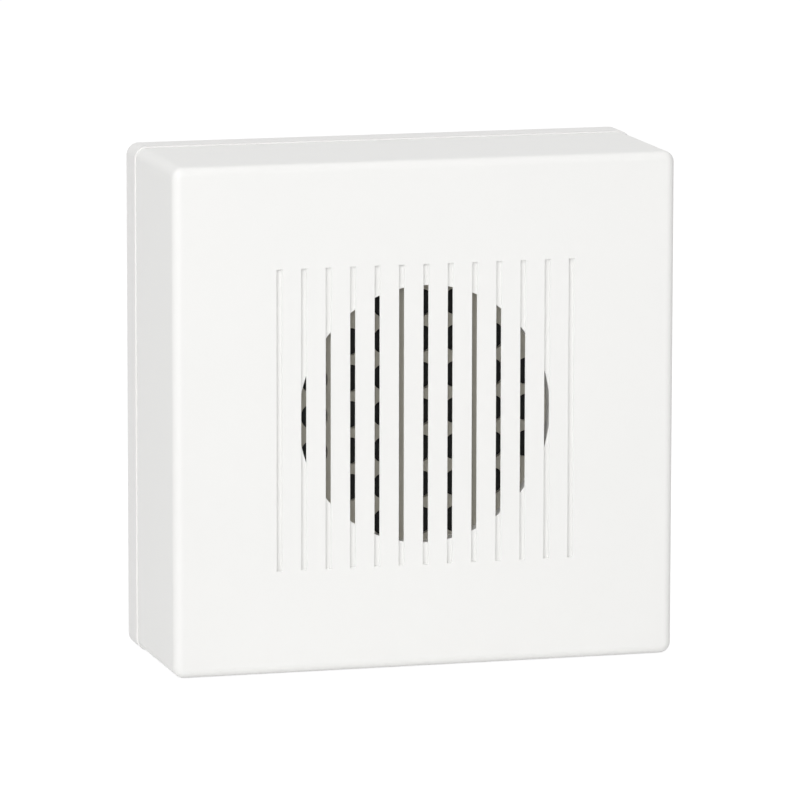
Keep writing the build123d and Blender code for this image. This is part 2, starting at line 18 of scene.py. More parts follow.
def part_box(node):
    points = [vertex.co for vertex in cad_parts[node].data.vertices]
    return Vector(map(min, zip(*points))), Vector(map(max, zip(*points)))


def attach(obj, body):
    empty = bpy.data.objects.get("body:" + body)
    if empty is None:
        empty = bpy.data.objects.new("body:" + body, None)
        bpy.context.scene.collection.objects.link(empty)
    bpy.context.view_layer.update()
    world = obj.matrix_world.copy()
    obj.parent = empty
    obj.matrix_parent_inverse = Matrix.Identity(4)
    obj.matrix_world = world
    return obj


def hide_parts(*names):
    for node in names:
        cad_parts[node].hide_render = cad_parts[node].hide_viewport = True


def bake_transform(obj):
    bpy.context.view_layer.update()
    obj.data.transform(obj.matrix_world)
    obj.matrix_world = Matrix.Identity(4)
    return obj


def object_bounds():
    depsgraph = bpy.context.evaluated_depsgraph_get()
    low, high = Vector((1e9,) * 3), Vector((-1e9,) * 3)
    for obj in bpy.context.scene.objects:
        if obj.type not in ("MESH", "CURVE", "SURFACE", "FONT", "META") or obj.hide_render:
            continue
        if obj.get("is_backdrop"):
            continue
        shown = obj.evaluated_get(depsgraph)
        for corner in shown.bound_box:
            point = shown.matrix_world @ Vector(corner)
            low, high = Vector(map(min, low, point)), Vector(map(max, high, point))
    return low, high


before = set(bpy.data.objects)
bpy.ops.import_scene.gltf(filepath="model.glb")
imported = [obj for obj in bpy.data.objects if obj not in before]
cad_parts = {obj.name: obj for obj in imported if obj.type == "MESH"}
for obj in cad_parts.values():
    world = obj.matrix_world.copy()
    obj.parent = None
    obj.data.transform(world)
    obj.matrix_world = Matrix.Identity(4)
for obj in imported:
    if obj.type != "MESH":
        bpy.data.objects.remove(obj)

log = logging.getLogger("chime_box")

MM = 0.001
FULL_TURN = 2 * math.pi

Colour = tuple[float, float, float]
Socket = bpy.types.NodeSocket

WHITE: Colour = (1.0, 1.0, 1.0)


def rgba(colour: Colour) -> tuple[float, float, float, float]:
    """The colour with full alpha."""
    return (*colour, 1.0)


class Lay(Enum):
    """The direction in which a metal is brushed or drawn, as a scale of the pattern along X, Y and Z."""

    ALONG_X = (0.02, 1.0, 1.0)
    ALONG_Z = (1.0, 1.0, 0.02)


class Side(Enum):
    """The two sides of the chime, as the sign of X."""

    LEFT = -1
    RIGHT = 1


class Kind(Enum):
    """What a group's socket carries."""

    VALUE = "NodeSocketFloat"
    VECTOR = "NodeSocketVector"


class MixOf(Enum):
    """What a Mix node mixes: its data type, the numbers of its two end sockets and of its result."""

    VALUES = ("FLOAT", 2, 3, 0)
    COLOURS = ("RGBA", 6, 7, 2)


class Graph:
    """Adds nodes to one shader tree and links them, so that a finish reads from top to bottom."""

    def __init__(self, tree: bpy.types.NodeTree) -> None:
        """Start on a tree.

        Args:
            tree: The node tree of a material, a group or the world.
        """
        self.tree = tree

    @classmethod
    def emptied(cls, owner: bpy.types.Material | bpy.types.World) -> "Graph":
        """Start on the emptied tree of a material or the world.

        Args:
            owner: The material or the world.

        Returns:
            The graph.
        """
        owner.use_nodes = True
        owner.node_tree.nodes.clear()
        return cls(owner.node_tree)

    def add(self, kind: str, inputs: dict | None = None, **settings: object) -> bpy.types.Node:
        """Add one node.

        Args:
            kind: The node's type name.
            inputs: Input name or number to a value, or to an output socket that feeds it.
            settings: The node's own properties.

        Returns:
            The new node.
        """
        node = self.tree.nodes.new(kind)
        for name, value in settings.items():
            setattr(node, name, value)
        for key, value in (inputs or {}).items():
            if isinstance(value, Socket):
                self.tree.links.new(value, node.inputs[key])
            else:
                node.inputs[key].default_value = value
        return node

    def feed(self, shader: bpy.types.Node, **sockets: Socket) -> None:
        """Link outputs to a shader's sockets, named with _ for a space."""
        for name, socket in sockets.items():
            self.tree.links.new(socket, shader.inputs[name.replace("_", " ")])

    def maths(self, operation: str, *values: object) -> Socket:
        """The output of a Math node on up to three values or sockets."""
        return self.add("ShaderNodeMath", dict(enumerate(values)), operation=operation).outputs[0]

    def vector(self, operation: str, *values: object) -> bpy.types.Node:
        """A Vector Math node on vectors or sockets."""
        return self.add("ShaderNodeVectorMath", dict(enumerate(values)), operation=operation)

    def parts(self, vector: Socket) -> bpy.types.NodeOutputs:
        """The X, Y and Z of a vector."""
        return self.add("ShaderNodeSeparateXYZ", {0: vector}).outputs

    def within(self, value: Socket, limit: object) -> Socket:
        """One where a value's size is less than a limit, else zero."""
        return self.maths("LESS_THAN", self.maths("ABSOLUTE", value), limit)

    def between(self, share: Socket, low: float, high: float) -> Socket:
        """A value that runs from low to high as a share runs from 0 to 1."""
        return self.add("ShaderNodeMapRange", {"Value": share, "To Min": low, "To Max": high}).outputs[0]

    def mix(self, kind: MixOf, share: Socket, first: object, second: object) -> Socket:
        """Mix two values, or two colours with alpha.

        Args:
            kind: What is mixed.
            share: Runs from 0 at the first end to 1 at the second.
            first: The first end, a value, a colour or a socket.
            second: The second end.

        Returns:
            The mix.
        """
        data_type, start, end, result = kind.value
        node = self.add("ShaderNodeMix", {0: share, start: first, end: second}, data_type=data_type)
        return node.outputs[result]

    def blend(self, share: Socket, first: Colour | Socket, second: Colour | Socket) -> Socket:
        """A colour that runs from the first to the second as a share runs from 0 to 1."""
        first, second = (end if isinstance(end, Socket) else rgba(end) for end in (first, second))
        return self.mix(MixOf.COLOURS, share, first, second)

    def noise(self, place: Socket, scale: Socket, detail: float, roughness: float = 0.5) -> Socket:
        """The value of a noise on a place, scaled by one over its size in metres."""
        inputs = {"Vector": place, "Scale": scale, "Detail": detail, "Roughness": roughness}
        return self.add("ShaderNodeTexNoise", inputs).outputs[0]

    def bump(self, height: Socket, distance: float, normal: Socket | None = None) -> Socket:
        """Bend a normal by a height.

        Args:
            height: The height, from 0 to 1.
            distance: How high 1 is, in metres.
            normal: The normal to bend, or none for the surface's own.

        Returns:
            The bent normal.
        """
        inputs = {"Height": height, "Distance": distance, "Strength": 1.0}
        if normal is not None:
            inputs["Normal"] = normal
        return self.add("ShaderNodeBump", inputs).outputs[0]

    def object_place(self) -> Socket:
        """The point's place in the object's own coordinates."""
        return self.add("ShaderNodeTexCoord").outputs["Object"]


class Effect:
    """A surface effect that several finishes share, kept as one shader node group."""

    name = "effect"
    takes: tuple[tuple[str, Kind], ...] = ()
    gives: tuple[tuple[str, Kind], ...] = ()

    @classmethod
    def group(cls) -> bpy.types.NodeTree:
        """The group's tree, built on its first use.

        Returns:
            The shader node group.
        """
        found = bpy.data.node_groups.get(cls.name)
        if found is not None:
            return found
        tree = bpy.data.node_groups.new(cls.name, "ShaderNodeTree")
        for name, kind in cls.takes:
            tree.interface.new_socket(name, in_out="INPUT", socket_type=kind.value)
        for name, kind in cls.gives:
            tree.interface.new_socket(name, in_out="OUTPUT", socket_type=kind.value)
        graph = Graph(tree)
        results = cls.fill(graph, graph.add("NodeGroupInput").outputs)
        graph.add("NodeGroupOutput", results)
        return tree

    @classmethod
    def fill(cls, graph: Graph, given: bpy.types.NodeOutputs) -> dict[str, Socket]:
        """Build the inside of the group.

        Args:
            graph: The group's graph.
            given: The group's inputs.

        Returns:
            Output name to the socket that feeds it.
        """
        raise NotImplementedError

    @classmethod
    def use(cls, graph: Graph, **values: object) -> bpy.types.NodeOutputs:
        """Place the group in a material.

        Args:
            graph: The material's graph.
            values: Input name, with _ for a space, to its value or socket.

        Returns:
            The group's outputs.
        """
        inputs = {name.replace("_", " "): value for name, value in values.items()}
        return graph.add("ShaderNodeGroup", inputs, node_tree=cls.group()).outputs


class SoftEdge(Effect):
    """The tiny radius that a tool leaves on every edge, as a bent normal, with a mask of where it is."""

    name = "soft_edge"
    takes = (("Radius", Kind.VALUE),)
    gives = (("Normal", Kind.VECTOR), ("Edge", Kind.VALUE))
    rays = 6
    full_cosine = 0.85

    @classmethod
    def fill(cls, graph: Graph, given: bpy.types.NodeOutputs) -> dict[str, Socket]:
        """Round the normal, and mask where it leaves the surface's own.

        The mask runs from 0 to 1 as the cosine between the two normals falls from 1 to the full cosine.

        Args:
            graph: The group's graph.
            given: The radius.

        Returns:
            The normal and the mask of the edge.
        """
        rounded = graph.add("ShaderNodeBevel", {"Radius": given["Radius"]}, samples=cls.rays).outputs[0]
        flat = graph.add("ShaderNodeNewGeometry").outputs["Normal"]
        cosine = graph.vector("DOT_PRODUCT", rounded, flat).outputs["Value"]
        limits = {"Value": cosine, "From Min": 1.0, "From Max": cls.full_cosine}
        return {"Normal": rounded, "Edge": graph.add("ShaderNodeMapRange", limits).outputs[0]}


class GrooveDraft(Effect):
    """The draft and the soft lip of moulded grooves, as normals that lean towards the open front."""

    name = "groove_draft"
    takes = (
        ("Normal", Kind.VECTOR),
        ("Front", Kind.VALUE),
        ("Depth", Kind.VALUE),
        ("Half Field", Kind.VALUE),
        ("Lean", Kind.VALUE),
    )
    gives = (("Normal", Kind.VECTOR), ("Wall", Kind.VALUE))
    steepest = 0.5

    @classmethod
    def fill(cls, graph: Graph, given: bpy.types.NodeOutputs) -> dict[str, Socket]:
        """Lean the normals of the grooves' walls.

        A wall is a surface inside the field, less deep than the grooves, whose true normal has less than
        the steepest share along Y. There the lean times the forward direction is added to the normal, and
        the sum is made a unit again.

        Args:
            graph: The group's graph.
            given: The normal, the front's Y, the grooves' depth, half the field's width and the lean.

        Returns:
            The normal and the mask of the walls.
        """
        place = graph.parts(graph.object_place())
        facing = graph.parts(graph.add("ShaderNodeNewGeometry").outputs["True Normal"])
        across = graph.within(place["X"], given["Half Field"])
        upright = graph.within(place["Z"], given["Half Field"])
        depth = graph.maths("SUBTRACT", place["Y"], given["Front"])
        shallow = graph.maths("LESS_THAN", depth, given["Depth"])
        wall = graph.within(facing["Y"], cls.steepest)
        field = graph.maths("MULTIPLY", across, upright)
        inside = graph.maths("MULTIPLY", field, graph.maths("MULTIPLY", shallow, wall))
        forward = graph.maths("MULTIPLY", graph.maths("MULTIPLY", inside, given["Lean"]), -1.0)
        push = graph.add("ShaderNodeCombineXYZ", {"Y": forward}).outputs[0]
        leant = graph.vector("ADD", given["Normal"], push).outputs[0]
        return {"Normal": graph.vector("NORMALIZE", leant).outputs[0], "Wall": inside}


class MouldGrain(Effect):
    """The fine spark-eroded grain of a moulded face, and the slow change of sheen over a large one."""

    name = "mould_grain"
    takes = (("Grain Size", Kind.VALUE), ("Cloud Size", Kind.VALUE))
    gives = (("Height", Kind.VALUE), ("Cloud", Kind.VALUE))

    @classmethod
    def fill(cls, graph: Graph, given: bpy.types.NodeOutputs) -> dict[str, Socket]:
        """Two noises on Object coordinates, each scaled by one over its size.

        Args:
            graph: The group's graph.
            given: The sizes of the grain and of the cloud.

        Returns:
            The grain's height and the cloud.
        """
        place = graph.object_place()
        fine = graph.maths("DIVIDE", 1.0, given["Grain Size"])
        slow = graph.maths("DIVIDE", 1.0, given["Cloud Size"])
        return {
            "Height": graph.noise(place, fine, detail=3.0, roughness=0.6),
            "Cloud": graph.noise(place, slow, detail=2.0),
        }


class DrawnLines(Effect):
    """Long fine scratches of rolled, drawn or brushed metal, from noise stretched along one axis."""

    name = "drawn_lines"
    takes = (("Stretch", Kind.VECTOR), ("Line Width", Kind.VALUE))
    gives = (("Line", Kind.VALUE), ("Cloud", Kind.VALUE))
    cloud_share = 0.06

    @classmethod
    def fill(cls, graph: Graph, given: bpy.types.NodeOutputs) -> dict[str, Socket]:
        """Scale the place by the stretch before the noise, so the lines run along the smallest scale.

        The cloud is an unstretched noise at a small share of the lines' scale.

        Args:
            graph: The group's graph.
            given: The stretch and the width of a line.

        Returns:
            The lines and the cloud.
        """
        stretched = graph.vector("MULTIPLY", graph.object_place(), given["Stretch"]).outputs[0]
        fine = graph.maths("DIVIDE", 1.0, given["Line Width"])
        slow = graph.maths("DIVIDE", cls.cloud_share, given["Line Width"])
        return {
            "Line": graph.noise(stretched, fine, detail=5.0, roughness=0.7),
            "Cloud": graph.noise(graph.object_place(), slow, detail=2.0),
        }


class LatheLines(Effect):
    """Tool lines left by turning, rings round the X axis that crosses the given centre."""

    name = "lathe_lines"
    takes = (("Centre", Kind.VECTOR), ("Line Width", Kind.VALUE))
    gives = (("Line", Kind.VALUE),)

    @classmethod
    def fill(cls, graph: Graph, given: bpy.types.NodeOutputs) -> dict[str, Socket]:
        """One-dimensional noise of the way along the axis plus the distance from it.

        Args:
            graph: The group's graph.
            given: The centre and the width of a line.

        Returns:
            The lines.
        """
        offset = graph.vector("SUBTRACT", graph.object_place(), given["Centre"]).outputs[0]
        parts = graph.parts(offset)
        squares = [graph.maths("POWER", parts[axis], 2.0) for axis in ("Y", "Z")]
        away = graph.maths("SQRT", graph.maths("ADD", *squares))
        inputs = {
            "W": graph.maths("ADD", parts["X"], away),
            "Scale": graph.maths("DIVIDE", 1.0, given["Line Width"]),
            "Detail": 4.0,
        }
        return {"Line": graph.add("ShaderNodeTexNoise", inputs, noise_dimensions="1D").outputs[0]}


@dataclass(frozen=True)
class Finish:
    """What every finish has: a name, a colour, and a roughness with how far it goes to each side.

    A finish that softens grazing light lets the renderer lift dark spots on its bent normals.
    """

    name: str
    colour: Colour
    roughness: float = 0.4
    smoother: float = 0.0
    rougher: float = 0.0
    softens_grazing: bool = True

    def material(self) -> bpy.types.Material:
        """The material of the finish's name, built here unless one of that name is there already.

        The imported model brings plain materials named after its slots. A finish with such a name shows as
        that plain material, and its own dress isn't used.

        Returns:
            The material.
        """
        found = bpy.data.materials.get(self.name)
        if found is not None:
            return found
        made = bpy.data.materials.new(self.name)
        graph = Graph.emptied(made)
        made.cycles.use_bump_map_correction = self.softens_grazing
        shader = graph.add("ShaderNodeBsdfPrincipled")
        graph.add("ShaderNodeOutputMaterial", {"Surface": shader.outputs[0]})
        self.dress(graph, shader)
        return made

    def dress(self, graph: Graph, shader: bpy.types.Node) -> None:
        """Set and feed the shader's sockets.

        Args:
            graph: The material's graph.
            shader: Its Principled shader.
        """
        raise NotImplementedError

    def shade(self, factor: float) -> Colour:
        """The finish's colour times a factor, no channel over 1."""
        return tuple(min(1.0, channel * factor) for channel in self.colour)

    def sheen(self, graph: Graph, share: Socket) -> Socket:
        """The roughness, from its smoother to its rougher end as a share runs from 0 to 1."""
        return graph.between(share, self.roughness - self.smoother, self.roughness + self.rougher)


@dataclass(frozen=True)
class MouldedPlastic(Finish):
    """An injection-moulded plastic with a satin grain."""

    smoother: float = 0.04
    rougher: float = 0.04
    grain_size: float = 0.25 * MM
    grain_height: float = 0.012 * MM
    cloud_size: float = 30 * MM
    cloud_share: float = 0.02
    edge_radius: float = 0.15 * MM
    shine: float = 0.5

    def shape(self, graph: Graph, body: Socket) -> tuple[Socket, Socket]:
        """The normal before the grain bends it, and the colour."""
        return SoftEdge.use(graph, Radius=self.edge_radius)["Normal"], body

    def dress(self, graph: Graph, shader: bpy.types.Node) -> None:
        """The grain bends the normal, and the cloud shifts the colour and the sheen a little.

        Args:
            graph: The material's graph.
            shader: Its Principled shader.
        """
        shader.inputs["Specular IOR Level"].default_value = self.shine
        grain = MouldGrain.use(graph, Grain_Size=self.grain_size, Cloud_Size=self.cloud_size)
        body = graph.blend(grain["Cloud"], self.shade(1 - self.cloud_share), self.colour)
        normal, colour = self.shape(graph, body)
        graph.feed(
            shader,
            Base_Color=colour,
            Roughness=self.sheen(graph, grain["Cloud"]),
            Normal=graph.bump(grain["Height"], self.grain_height, normal),
        )


@dataclass(frozen=True)
class GroovedPlastic(MouldedPlastic):
    """A moulded plastic whose front has upright grooves with draft and a soft lip, their walls painted
    lighter as painted light.
    """

    softens_grazing: bool = False
    field_half: float = 30 * MM
    groove_depth: float = 0.95 * MM
    lean: float = 1.0
    # The walls' colour, lighter than the body: painted light that lifts the shade on the grooves' walls.
    painted_wall_light: Colour = (0.93, 0.93, 0.915)

    def shape(self, graph: Graph, body: Socket) -> tuple[Socket, Socket]:
        """Let the grooves' walls lean open, and paint them lighter than the body: painted light that lifts
        their shade.

        Args:
            graph: The material's graph.
            body: The colour outside the grooves.

        Returns:
            The normal before the grain bends it, and the colour.
        """
        edge = SoftEdge.use(graph, Radius=self.edge_radius)
        draft = GrooveDraft.use(
            graph,
            Normal=edge["Normal"],
            Front=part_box("cover")[0].y,
            Depth=self.groove_depth,
            Half_Field=self.field_half,
            Lean=self.lean,
        )
        # Painted light: the walls are painted lighter than the body, to lift the shade inside the grooves.
        return draft["Normal"], graph.blend(draft["Wall"], body, self.painted_wall_light)


@dataclass(frozen=True)
class DrawnMetal(Finish):
    """A rolled, drawn or brushed metal with lines along one axis and brighter worn edges."""

    roughness: float = 0.32
    smoother: float = 0.1
    rougher: float = 0.12
    lay: Lay = Lay.ALONG_Z
    line_width: float = 0.12 * MM
    line_height: float = 0.004 * MM
    edge_radius: float = 0.12 * MM
    dull_share: float = 0.86
    worn_share: float = 1.15

    def dress(self, graph: Graph, shader: bpy.types.Node) -> None:
        """The lines change the sheen and the normal, and the edges are rubbed bright.

        Args:
            graph: The material's graph.
            shader: Its Principled shader.
        """
        shader.inputs["Metallic"].default_value = 1.0
        edge = SoftEdge.use(graph, Radius=self.edge_radius)
        lines = DrawnLines.use(graph, Stretch=self.lay.value, Line_Width=self.line_width)
        body = graph.blend(lines["Cloud"], self.shade(self.dull_share), self.colour)
        graph.feed(
            shader,
            Base_Color=graph.blend(edge["Edge"], body, self.shade(self.worn_share)),
            Roughness=self.sheen(graph, lines["Line"]),
            Normal=graph.bump(lines["Line"], self.line_height, edge["Normal"]),
        )


@dataclass(frozen=True)
class TurnedMetal(Finish):
    """A metal turned on a lathe, with rings round the coil's axis."""

    roughness: float = 0.25
    smoother: float = 0.08
    rougher: float = 0.1
    axis_height: float = 15.7 * MM
    line_width: float = 0.15 * MM
    line_height: float = 0.004 * MM
    edge_radius: float = 0.1 * MM
    dull_share: float = 0.88

    def dress(self, graph: Graph, shader: bpy.types.Node) -> None:
        """The rings change the sheen and the normal.

        Args:
            graph: The material's graph.
            shader: Its Principled shader.
        """
        shader.inputs["Metallic"].default_value = 1.0
        edge = SoftEdge.use(graph, Radius=self.edge_radius)
        lines = LatheLines.use(graph, Centre=(0.0, -self.axis_height, 0.0), Line_Width=self.line_width)
        graph.feed(
            shader,
            Base_Color=graph.blend(lines["Line"], self.shade(self.dull_share), self.colour),
            Roughness=self.sheen(graph, lines["Line"]),
            Normal=graph.bump(lines["Line"], self.line_height, edge["Normal"]),
        )


@dataclass(frozen=True)
class EnamelledWire(Finish):
    """Copper winding wire under a clear amber enamel."""

    roughness: float = 0.3
    smoother: float = 0.06
    rougher: float = 0.1
    metallic: float = 0.9
    coat: float = 0.5
    coat_roughness: float = 0.15
    grain_size: float = 0.4 * MM
    cloud_size: float = 6 * MM
    reddened: Colour = (0.7, 0.6, 0.5)

    def dress(self, graph: Graph, shader: bpy.types.Node) -> None:
        """The copper darkens and reddens in patches, under a smooth coat.

        Args:
            graph: The material's graph.
            shader: Its Principled shader.
        """
        shader.inputs["Metallic"].default_value = self.metallic
        shader.inputs["Coat Weight"].default_value = self.coat
        shader.inputs["Coat Roughness"].default_value = self.coat_roughness
        grain = MouldGrain.use(graph, Grain_Size=self.grain_size, Cloud_Size=self.cloud_size)
        darker = tuple(channel * share for channel, share in zip(self.colour, self.reddened))
        graph.feed(
            shader,
            Base_Color=graph.blend(grain["Cloud"], darker, self.colour),
            Roughness=self.sheen(graph, grain["Height"]),
        )


@dataclass(frozen=True)
class SoftRubber(Finish):
    """A matt moulded rubber with a faint bloom."""

    roughness: float = 0.72
    smoother: float = 0.08
    rougher: float = 0.08
    edge_radius: float = 0.2 * MM
    grain_size: float = 0.18 * MM
    grain_height: float = 0.02 * MM
    cloud_size: float = 3 * MM
    bloom: float = 0.03

    def dress(self, graph: Graph, shader: bpy.types.Node) -> None:
        """The bloom lightens the rubber in patches, and the grain breaks its sheen.

        Args:
            graph: The material's graph.
            shader: Its Principled shader.
        """
        edge = SoftEdge.use(graph, Radius=self.edge_radius)
        grain = MouldGrain.use(graph, Grain_Size=self.grain_size, Cloud_Size=self.cloud_size)
        bloomed = tuple(channel + self.bloom for channel in self.colour)
        graph.feed(
            shader,
            Base_Color=graph.blend(grain["Cloud"], self.colour, bloomed),
            Roughness=self.sheen(graph, grain["Cloud"]),
            Normal=graph.bump(grain["Height"], self.grain_height, edge["Normal"]),
        )


@dataclass(frozen=True)
class WovenCloth(Finish):
    """A thin plain-woven cloth in the XZ plane."""

    roughness: float = 0.95
    thread_pitch: float = 0.4 * MM
    thread_height: float = 0.05 * MM
    crown_share: float = 1.6

    def dress(self, graph: Graph, shader: bpy.types.Node) -> None:
        """The height is the product of two waves, one over each direction of the threads.

        Args:
            graph: The material's graph.
            shader: Its Principled shader.
        """
        shader.inputs["Roughness"].default_value = self.roughness
        place = graph.parts(graph.object_place())
        turn = FULL_TURN / self.thread_pitch
        warp = graph.maths("SINE", graph.maths("MULTIPLY", place["X"], turn))
        weft = graph.maths("SINE", graph.maths("MULTIPLY", place["Z"], turn))
        weave = graph.maths("MULTIPLY_ADD", graph.maths("MULTIPLY", warp, weft), 0.5, 0.5)
        graph.feed(
            shader,
            Base_Color=graph.blend(weave, self.colour, self.shade(self.crown_share)),
            Normal=graph.bump(weave, self.thread_height),
        )


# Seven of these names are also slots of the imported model, whose plain materials show in their place:
# bar_steel, yoke_steel, screw_steel, spring_steel, plunger_steel, copper_wire and black_cloth.
WHITE_BASE = MouldedPlastic("white_base", (0.85, 0.843, 0.833), edge_radius=0.04 * MM, shine=0.3)
WHITE_COVER = GroovedPlastic("white_cover", (0.88, 0.877, 0.862), edge_radius=0.04 * MM, shine=0.3)
GREY_GUARD = MouldedPlastic("grey_guard", (0.55, 0.527, 0.458), roughness=0.5, cloud_share=0.06)
IVORY_BLOCK = MouldedPlastic("ivory_block", (0.66, 0.64, 0.56), roughness=0.35, cloud_size=8 * MM)
BLACK_BOBBIN = MouldedPlastic("black_bobbin", (0.022, 0.022, 0.025), roughness=0.45, cloud_size=6 * MM)
NYLON_STRIKER = MouldedPlastic("nylon_striker", (0.66, 0.60, 0.46), roughness=0.35, cloud_size=4 * MM)
RED_SHEATH = MouldedPlastic(
    "red_sheath", (0.42, 0.035, 0.03), roughness=0.3, grain_height=0.004 * MM, cloud_size=5 * MM
)
BAR_STEEL = DrawnMetal("bar_steel", (0.62, 0.62, 0.61), lay=Lay.ALONG_Z)
YOKE_STEEL = DrawnMetal(
    "yoke_steel", (0.52, 0.51, 0.46), lay=Lay.ALONG_X, roughness=0.42, line_width=0.3 * MM
)
SCREW_STEEL = DrawnMetal(
    "screw_steel", (0.6, 0.6, 0.57), lay=Lay.ALONG_X, roughness=0.28, line_width=0.2 * MM
)
SPRING_STEEL = DrawnMetal(
    "spring_steel", (0.5, 0.5, 0.49), lay=Lay.ALONG_X, roughness=0.25, edge_radius=0.02 * MM
)
PLUNGER_STEEL = TurnedMetal("plunger_steel", (0.58, 0.58, 0.57))
BRASS = TurnedMetal("turned_brass", (0.62, 0.42, 0.16))
COPPER_WIRE = EnamelledWire("copper_wire", (0.62, 0.24, 0.09))
BLACK_RUBBER = SoftRubber("black_rubber", (0.02, 0.02, 0.021))
BLACK_CLOTH = WovenCloth("black_cloth", (0.012, 0.012, 0.013))


class Surface:
    """A mesh made from a grid of points whose columns close into rings."""

    def __init__(self, name: str, points: np.ndarray, ring_of_rings: bool = False) -> None:
        """Keep the grid.

        Args:
            name: The piece's name.
            points: Places in metres, rows by columns by 3.
            ring_of_rings: Whether the last row joins the first, instead of both ends being capped.
        """
        self.name = name
        self.points = points
        self.ring_of_rings = ring_of_rings

    def faces(self) -> list[list[int]]:
        """Quads between neighbouring rows and columns, and a cap on each end if the rows don't close.

        Returns:
            The vertex numbers of each face.
        """
        rows, columns = self.points.shape[:2]
        row = np.arange(rows if self.ring_of_rings else rows - 1)[:, None]
        column = np.arange(columns)[None, :]
        near, far = row * columns, (row + 1) % rows * columns
        after = (column + 1) % columns
        quads = np.stack([near + column, near + after, far + after, far + column], axis=-1)
        found = quads.reshape(-1, 4).tolist()
        if not self.ring_of_rings:
            found.append(list(range(columns))[::-1])
            found.append(list(range((rows - 1) * columns, rows * columns)))
        return found

    def build(self, smooth_degrees: float = 40.0) -> bpy.types.Object:
        """Make the object, with its faces turned outwards and its sharp edges marked.

        Args:
            smooth_degrees: The angle past which an edge stays sharp.

        Returns:
            The object, linked to the scene.
        """
        mesh = bpy.data.meshes.new(self.name)
        mesh.from_pydata(self.points.reshape(-1, 3).tolist(), [], self.faces())
        work = bmesh.new()
        work.from_mesh(mesh)
        bmesh.ops.recalc_face_normals(work, faces=work.faces)
        work.to_mesh(mesh)
        work.free()
        mesh.shade_smooth()
        mesh.set_sharp_from_angle(angle=math.radians(smooth_degrees))
        made = bpy.data.objects.new(self.name, mesh)
        bpy.context.scene.collection.objects.link(made)
        return made


def tube(path: np.ndarray, first: np.ndarray, second: np.ndarray, radius: float, sides: int) -> np.ndarray:
    """Circles of one radius round each point of a path.

    Each point of the grid is the path's point plus the radius times the cosine of its angle along the
    first direction and the sine along the second.

    Args:
        path: The path's points, rows by 3.
        first: A unit direction across the path at each point.
        second: The unit direction square to the path and to the first.
        radius: The tube's radius in metres.
        sides: The number of points round the tube.

    Returns:
        The grid, rows by sides by 3.
    """
    turn = np.linspace(0, FULL_TURN, sides, endpoint=False)[None, :, None]
    return path[:, None] + radius * (np.cos(turn) * first[:, None] + np.sin(turn) * second[:, None])


def unit(vectors: np.ndarray) -> np.ndarray:
    """The vectors, each scaled to length one."""
    return vectors / np.linalg.norm(vectors, axis=-1, keepdims=True)


def report(piece: bpy.types.Object) -> None:
    """Write one line about a piece to the log."""
    log.info("%s: %d faces, %s", piece.name, len(piece.data.polygons), piece.data.materials[0].name)


def paint(node: str, finish: Finish) -> None:
    """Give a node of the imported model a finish.

    Args:
        node: The node's name.
        finish: The finish.
    """
    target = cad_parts[node]
    target.data.materials.clear()
    target.data.materials.append(finish.material())
    report(target)


def settle(piece: bpy.types.Object, finish: Finish, body: str, slot: str, *nodes: str) -> bpy.types.Object:
    """Finish a new piece and let it ride on a body in place of some nodes.

    Args:
        piece: The new object.
        finish: Its finish.
        body: The body that it rides on.
        slot: The record's material slot; not used.
        nodes: The nodes that it stands for.

    Returns:
        The piece.
    """
    piece.data.materials.append(finish.material())
    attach(piece, body)
    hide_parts(*nodes)
    report(piece)
    return piece


@dataclass
class Winding:
    """The coil's wire between the bobbin's flanges, its outer layer wound as one visible helix."""

    wire_pitch: float = 0.36 * MM
    wire_proud: float = 0.16 * MM
    wire_flank: float = 0.98
    core_wall: float = 0.9 * MM
    rows_a_turn: int = 6
    columns: int = 84
    slack_share: float = 0.18
    slack_waves: int = 5
    seed: int = 7
    smooth_degrees: float = 80.0

    def core_radius(self) -> float:
        """The radius of the bobbin's core: the guide tube's, and the bobbin's wall with its seat gap."""
        low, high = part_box("coil_sleeve")
        return (high.y - low.y) / 2 + self.core_wall

    def points(self) -> np.ndarray:
        """The winding's surface.

        The radius at a point is the outer radius less what the wire's round back falls away there: the
        half circle of the way along the axis in pitches, less the turn, with a slow seeded slack. A last
        row on each end runs down to the core, and the core joins them.

        Returns:
            A grid of places, rows by columns by 3.
        """
        low, high = (np.array(corner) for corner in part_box("coil_winding"))
        centre = (low + high) / 2
        outer = (high[1] - low[1]) / 2
        length = high[0] - low[0]
        rows = int(length / self.wire_pitch * self.rows_a_turn)
        along = np.linspace(low[0], high[0], rows)[:, None]
        turn = np.linspace(0, FULL_TURN, self.columns, endpoint=False)[None, :]
        waves = np.random.default_rng(self.seed).uniform(-1, 1, (self.slack_waves, 2))
        slack = sum(
            size * np.sin(FULL_TURN * (number + 1) * along / length + FULL_TURN * start)
            for number, (size, start) in enumerate(waves)
        )
        phase = along / self.wire_pitch - turn / FULL_TURN + self.slack_share * slack
        across = 2 * (phase % 1) - 1
        radius = outer - self.wire_proud * (1 - np.sqrt(1 - self.wire_flank * across**2))
        along = np.broadcast_to(along, radius.shape)
        core = np.full((1, self.columns), self.core_radius())
        radius = np.vstack([core, radius, core])
        along = np.vstack([along[:1], along, along[-1:]])
        turn = np.broadcast_to(turn, radius.shape)
        ring = (centre[1] + radius * np.cos(turn), centre[2] + radius * np.sin(turn))
        return np.stack([along, *ring], axis=-1)

    def build(self) -> bpy.types.Object:
        """Make the winding and put it in place of its plain solid."""
        made = Surface("winding", self.points(), ring_of_rings=True).build(self.smooth_degrees)
        return settle(made, COPPER_WIRE, "base", "copper_wire", "coil_winding")


